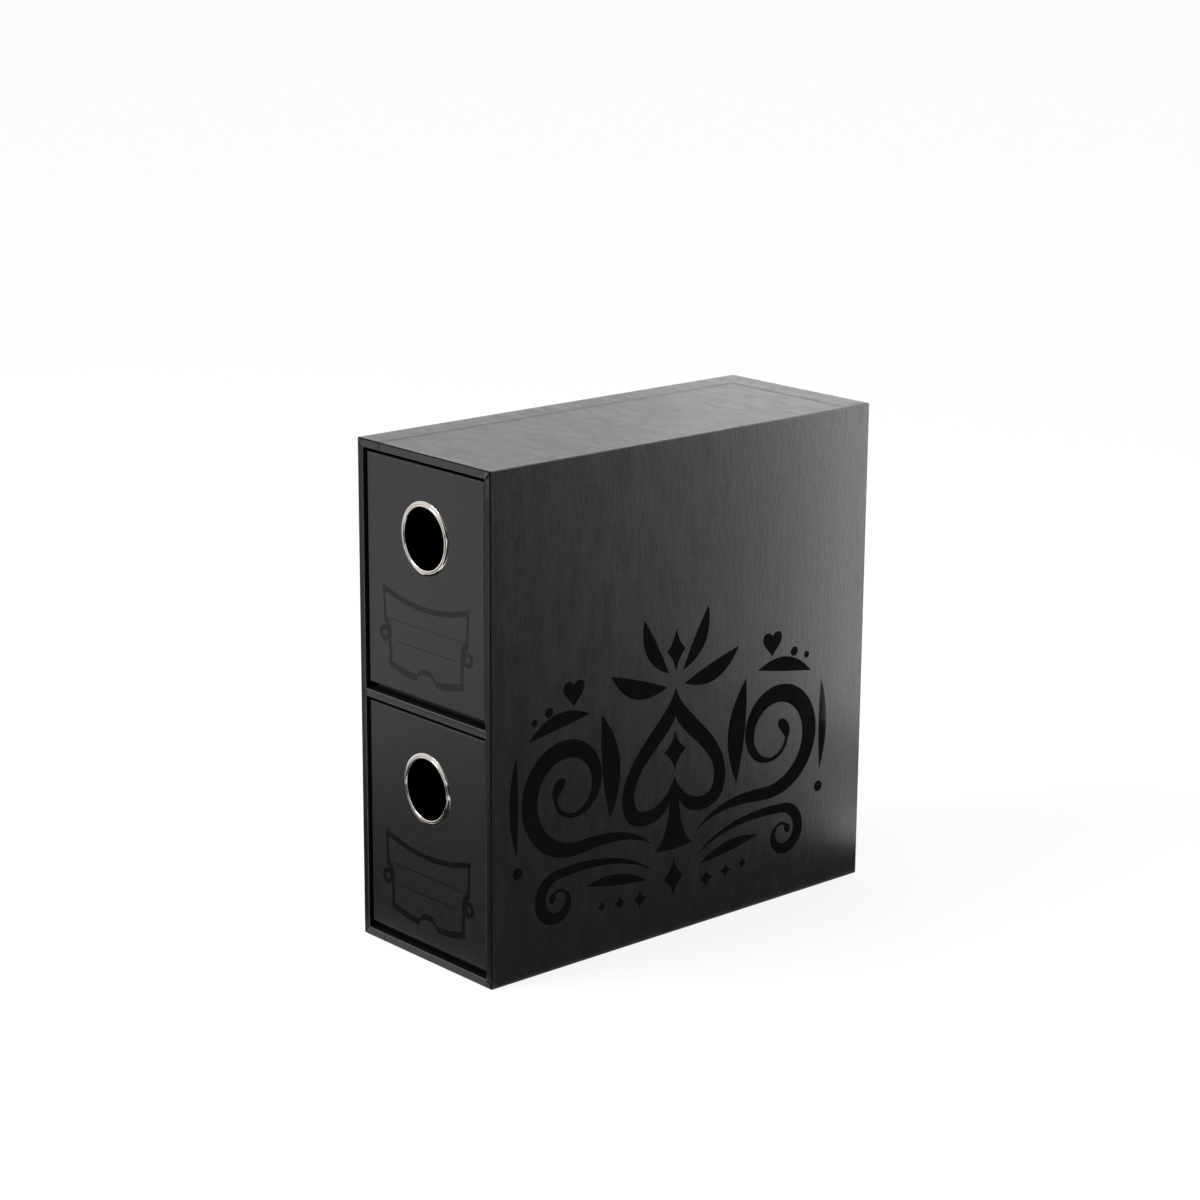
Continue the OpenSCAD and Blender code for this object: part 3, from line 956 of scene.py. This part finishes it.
def label_frame():
    tip = Vector(LABEL_TIP)
    top = Vector(LABEL_INNER_TIP)
    outer = (
        arc(tip, (26.8, 27.6), -0.2, 6) + arc((26.8, 27.6), (24.0, 20.2), -1.0)
        + arc((24.0, 20.2), (23.9, 9.8), -0.5) + arc((23.9, 9.8), (6.4, 6.9), 0.7)
        + arc((6.4, 6.9), (0, 10.2), -1.3)
    )
    inner = (
        arc(top, (25.3, 30.4), 0.1, 6) + arc((25.3, 30.4), (22.3, 20.4), -1.5)
        + arc((22.3, 20.4), (21.9, 12.2), -0.4) + arc((21.9, 12.2), (5.3, 9.7), 0.7)
        + arc((5.3, 9.7), (0, 12.8), -1.2)
    )
    mirror = Vector((-1, 1))
    outer = arc(tip * mirror, tip, -LABEL_TOP_SAG, 32)[1:] + label_half(outer)
    inner = arc(top * mirror, top, -LABEL_INNER_SAG, 32)[1:] + label_half(inner)
    return [outer, inner]


def label(i):
    lo, hi = PANELS[i]
    place = Matrix((
        (1, 0, 0, (lo.x + hi.x) / 2), (0, 0, -1, lo.y), (0, 1, 0, lo.z), (0, 0, 0, 1),
    ))
    body = f"{TIERS[i]}_drawer"
    film(f"{TIERS[i]}_label_frame", label_frame(), place, FILM, body, SATIN_PRINT)
    rings = []
    for side in (-1, 1):
        centre = Vector((side * LABEL_RING[0], LABEL_RING[1]))
        rings += [circle(centre, radius) for radius in LABEL_RING_R]
    film(f"{TIERS[i]}_label_rings", rings, place, RING_FILM, body, SATIN_PRINT)
    lines = [
        [Vector((-w, z)), Vector((w, z)), Vector((w, z + LABEL_LINE_H)), Vector((-w, z + LABEL_LINE_H))]
        for z, w in LABEL_LINES
    ]
    film(f"{TIERS[i]}_label_lines", lines, place, FILM, body, SATIN_PRINT)


def bend(start, first, second, end, steps=14):
    """Points along a cubic curve from start up to, but without, end."""
    a, b, c, d = [Vector(point) for point in (start, first, second, end)]
    return [
        a * (1 - t) ** 3 + b * 3 * t * (1 - t) ** 2 + c * 3 * t * t * (1 - t) + d * t ** 3
        for t in (k / steps for k in range(steps))
    ]


def both_halves(right):
    """Closed outline from its right half, top to foot, mirrored about the middle."""
    left = [Vector((-point.x, point.y)) for point in reversed(right) if abs(point.x) > ON_MIDDLE]
    return right + left


def leaf(start, end, fullness, lean=0.0):
    return arc(start, end, lean + fullness, 18) + arc(end, start, fullness - lean, 18)


def lozenge(x, y, half_w, half_h):
    tips = [
        Vector((x, y + half_h)), Vector((x + half_w, y)), Vector((x, y - half_h)), Vector((x - half_w, y)),
    ]
    hollow = min(half_w, half_h) * LOZENGE_HOLLOW
    return [point for a, b in zip(tips, tips[1:] + tips[:1]) for point in arc(a, b, -hollow, 8)]


def heart(x, y, size):
    tip, notch = Vector((0, -1.0)), Vector((0, 0.55))
    right = (
        [notch] + bend(notch, (0.12, 0.95), (0.95, 1.1), (0.98, 0.42))[1:]
        + bend((0.98, 0.42), (1.0, -0.1), (0.35, -0.45), tip) + [tip]
    )
    return [Vector((x, y)) + point * size for point in both_halves(right)]


def ribbon(line, widths):
    """Closed outline of a stroke whose half-width changes along its centre line."""
    sides = []
    for k, point in enumerate(line):
        way = (line[min(k + 1, len(line) - 1)] - line[max(k - 1, 0)]).normalized()
        sides.append((point, Vector((-way.y, way.x)) * widths[k]))
    back = [point - across for point, across in reversed(sides)]
    return [point + across for point, across in sides] + back


def scroll(lead, centre, radius, start_angle, turns, half_width):
    """Swelling stroke that runs in along lead and winds inward to a rounded eye."""
    centre = Vector(centre)
    steps = int(COIL_STEPS * abs(turns))
    coil = []
    for k in range(steps + 1):
        t = k / steps
        a = start_angle + math.tau * turns * t
        reach = radius * (1 - COIL_CLOSING * t ** COIL_PACE)
        coil.append(centre + Vector((math.cos(a), math.sin(a))) * reach)
    line = lead[:-1] + coil
    widths = []
    for k in range(len(line)):
        t = k / (len(line) - 1)
        swell = math.sin(math.pi * min(1.0, t * SWELL_END) ** SWELL_LEAN) * half_width
        eye_t = (t - EYE_AT) / EYE_REACH
        eye = half_width * EYE_SIZE * math.sqrt(max(0.0, 1 - eye_t * eye_t)) if abs(eye_t) < 1 else 0.0
        tail = half_width * TAIL_SIZE * min(1.0, t * TAIL_RISE) if t < TAIL_END else 0.0
        widths.append(max(HAIR_LINE, swell, eye, tail))
    return ribbon(line, widths)


def side_ornament():
    """Scrolls, leaves and card suits, mirrored about a spade."""
    spade = both_halves(
        bend((0, 112), (4, 98), (31, 86), (31, 66)) + bend((31, 66), (31, 56), (25, 52), (17, 52))
        + bend((17, 52), (10, 52), (5, 55), (3, 60)) + bend((3, 60), (3, 50), (6, 42), (12, 37))
        + [Vector((0, 37))]
    )
    hollow = both_halves(
        bend((0, 99), (4, 89), (24, 80), (24, 67)) + bend((24, 67), (24, 61), (21, 58.5), (17, 58.5))
        + bend((17, 58.5), (9, 58.5), (3, 64), (0, 71)) + [Vector((0, 71))]
    )
    outlines = [spade, hollow, lozenge(0, 83, 6.5, 9.5), lozenge(0, 129, 5.5, 10), lozenge(0, 24, 6, 9)]
    upper_lead = bend((14, 43), (26, 52), (40, 52), (57, 50.8))
    lower_lead = bend((14, 31), (28, 41), (48, 43), (67, 41.5))
    upper = scroll(upper_lead, (61, 78), 27.5, math.radians(-98), turns=1.45, half_width=4.4)
    lower = scroll(lower_lead, (68, 29.5), 12, math.radians(95), turns=-1.3, half_width=3.0)
    right = [
        upper, lower, leaf((38, 60), (43, 108), 5.2, 3.0), leaf((5, 113), (38, 124), 4.2, -3.5),
        leaf((4, 119), (19, 146), 3.6, -3.0), leaf((50, 110), (84, 104), 3.4, 3.2),
        leaf((91, 55), (91, 99), 2.4, -1.4), leaf((16, 26.5), (52, 32), 2.6, 1.6),
        lozenge(20, 18.5, 4.2, 4.2), lozenge(32, 19.5, 3.4, 3.4), lozenge(42.5, 20.5, 2.7, 2.7),
        heart(59, 121, 6.0), circle((90.5, 47), 2.6, 28), circle((73, 115), 2.2, 28),
        circle((81, 112), 1.6, 24),
    ]
    outlines += right + [mirrored(outline) for outline in right]
    place = Matrix((
        (0, 0, 1, CASE_HI.x - FILM), (ORNAMENT_SCALE, 0, 0, ORNAMENT_Y),
        (0, ORNAMENT_SCALE, 0, ORNAMENT_Z), (0, 0, 0, 1),
    ))
    film("side_ornament", outlines, place, FILM, "case", GLOSS_PRINT)


def dress_plain_nodes():
    """Finishes for the CAD pieces that keep their shape."""
    finishes = {
        "board": GREYBOARD, "wall": GREYBOARD, "lining": LINING, "cover": PAPER_UPRIGHT,
        "washer": NICKEL, "eyelet": NICKEL,
    }
    for name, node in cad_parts.items():
        finish = next(finishes[word] for word in reversed(name.split("_")) if word in finishes)
        node.data.materials.clear()
        node.data.materials.append(finish)


# Studio

FLOOR_REACH = 6
FLOOR_GREY = (0.26, 0.26, 0.26, 1)
FLOOR_GLOW = 0.82
WHITE = (1, 1, 1, 1)
FLAG_BLACK = (0.02, 0.02, 0.02, 1)
# Light that the world sheds, and what is added where it is looked at or mirrored
WORLD_LIGHT = 0.6
WORLD_SEEN = 0.4
# Flags laid on the floor stand this high, and face straight up
FLAG_Z = 0.5 * MM

# Name, place, what it points at, width and height, watts, and whether only reflections show it
LAMPS = (
    ("front_top", (-0.3, -0.8, 1.0), (0, -0.1, 0.15), (0.5, 0.4), 7.7, False),
    ("rear_near", (-0.5, 0.6, 0.42), (0, 0, 0.2), (0.8, 0.4), 0.62, False),
    ("rear_close", (-0.3, 0.5, 0.34), (0, 0.1, 0.21), (0.3, 0.2), 0.14, True),
    ("rear_strip", (0.117, 0.197, 0.33), (0.04, 0.07, 0.33), (0.05, 0.6), 0.82, True),
    ("rear_panel", (0.3, 0.45, 0.35), (0.04, 0.05, 0.2), (0.2, 0.5), 1.3, True),
    ("floor_strip", (0.1293, 0.2124, 0.003), (0.1355, 0.2202, 1.0), (0.03, 0.22), 0.11, True),
)
# Name, place, what it faces, width and height
FLAGS = (
    ("flag_front_floor", (-0.08, -0.2, FLAG_Z), (-0.08, -0.2, 1), (0.28, 0.18)),
    ("flag_left_floor", (-0.45, 0.1, FLAG_Z), (-0.45, 0.1, 1), (0.6, 0.5)),
    ("flag_front_wall", (0.05, -1.35, 0.45), (0.05, 0, 0.3), (0.9, 1.0)),
    ("flag_right_floor", (0.5425, 0.325, FLAG_Z), (0.5425, 0.325, 1), (1.0, 0.85)),
    ("flag_right_front", (0.6, -0.975, FLAG_Z), (0.6, -0.975, 1), (1.5, 1.25)),
    ("flag_right_near", (0.71, -0.3, FLAG_Z), (0.71, -0.3, 1), (1.28, 0.1)),
    ("flag_right_wall", (1.3, 0.7, 0.4), (0.04, 0.0, 0.15), (1.6, 0.9)),
    ("flag_camera_side", (1.0, -1.1, 0.3), (0, 0, 0.3), (1.8, 0.7)),
)


def flat_card(name, size, place):
    """Rectangle of a given width and height, in place."""
    bm = bmesh.new()
    bmesh.ops.create_grid(bm, x_segments=1, y_segments=1, size=0.5)
    bmesh.ops.scale(bm, vec=(*size, 1), verts=bm.verts)
    bmesh.ops.transform(bm, matrix=place, verts=bm.verts)
    return mesh_object(name, bm)


def facing(at, aim):
    """Place of a lamp or card that stands at one point and faces another."""
    turn = (Vector(aim) - Vector(at)).to_track_quat("-Z", "Y")
    return Matrix.Translation(at) @ turn.to_matrix().to_4x4()


def seen_mask(tree):
    """1 for what the camera, a mirror or glass sees, and 0 for light that is shed."""
    path = tree.nodes.new("ShaderNodeLightPath")
    seen = math_node(tree, "ADD", path.outputs["Is Camera Ray"], path.outputs["Is Glossy Ray"])
    return math_node(tree, "ADD", seen, path.outputs["Is Transmission Ray"], clamp=True)


def white_ground():
    """Floor that shows white to the camera and in reflections, and still takes the shadow."""
    floor = flat_card("floor", (2 * FLOOR_REACH, 2 * FLOOR_REACH), Matrix.Identity(4))
    material = bpy.data.materials.new("white_floor")
    material.use_nodes = True
    tree = material.node_tree
    tree.nodes.clear()
    strength = math_node(tree, "MULTIPLY", seen_mask(tree), FLOOR_GLOW)
    diffuse = add_node(tree, "ShaderNodeBsdfDiffuse", [("Color", FLOOR_GREY)])
    glow = add_node(tree, "ShaderNodeEmission", [("Color", WHITE), ("Strength", strength)])
    total = add_node(tree, "ShaderNodeAddShader", [(0, diffuse.outputs[0]), (1, glow.outputs[0])])
    add_node(tree, "ShaderNodeOutputMaterial", [("Surface", total.outputs[0])])
    floor.data.materials.append(material)


def studio_world():
    world = bpy.data.worlds.new("studio")
    bpy.context.scene.world = world
    world.use_nodes = True
    tree = world.node_tree
    tree.nodes.clear()
    strength = math_node(tree, "ADD", math_node(tree, "MULTIPLY", seen_mask(tree), WORLD_SEEN), WORLD_LIGHT)
    glow = add_node(tree, "ShaderNodeBackground", [("Color", WHITE), ("Strength", strength)])
    add_node(tree, "ShaderNodeOutputWorld", [("Surface", glow.outputs[0])])


def soft_lamp(name, at, aim, size, watts, gloss_only):
    data = bpy.data.lights.new(name, "AREA")
    data.shape = "RECTANGLE"
    data.size, data.size_y = size
    data.energy = watts
    lamp = add_object(name, data)
    lamp.matrix_world = facing(at, aim)
    lamp.visible_camera = False
    lamp.visible_diffuse = not gloss_only


def flag_cloth():
    material = bpy.data.materials.new("flag_cloth")
    material.use_nodes = True
    tree = material.node_tree
    tree.nodes.clear()
    dark = add_node(tree, "ShaderNodeEmission", [("Color", FLAG_BLACK)])
    add_node(tree, "ShaderNodeOutputMaterial", [("Surface", dark.outputs[0])])
    return material


def dark_flag(name, at, aim, size, cloth):
    """Dark card that only reflections show, as a photographer flags metal and gloss."""
    flag = flat_card(name, size, facing(at, aim))
    flag.visible_camera = False
    flag.visible_diffuse = False
    flag.visible_shadow = False
    flag.visible_transmission = False
    flag.data.materials.append(cloth)


place_camera()
wrapped_case()
for i in range(len(TIERS)):
    front_panel_cover(i)
    tray_cover(i)
    eyelet_ring(i)
    label(i)
side_ornament()
dress_plain_nodes()
white_ground()
studio_world()
for lamp in LAMPS:
    soft_lamp(*lamp)
cloth = flag_cloth()
for flag in FLAGS:
    dark_flag(*flag, cloth)
bpy.context.scene.view_settings.view_transform = "Standard"
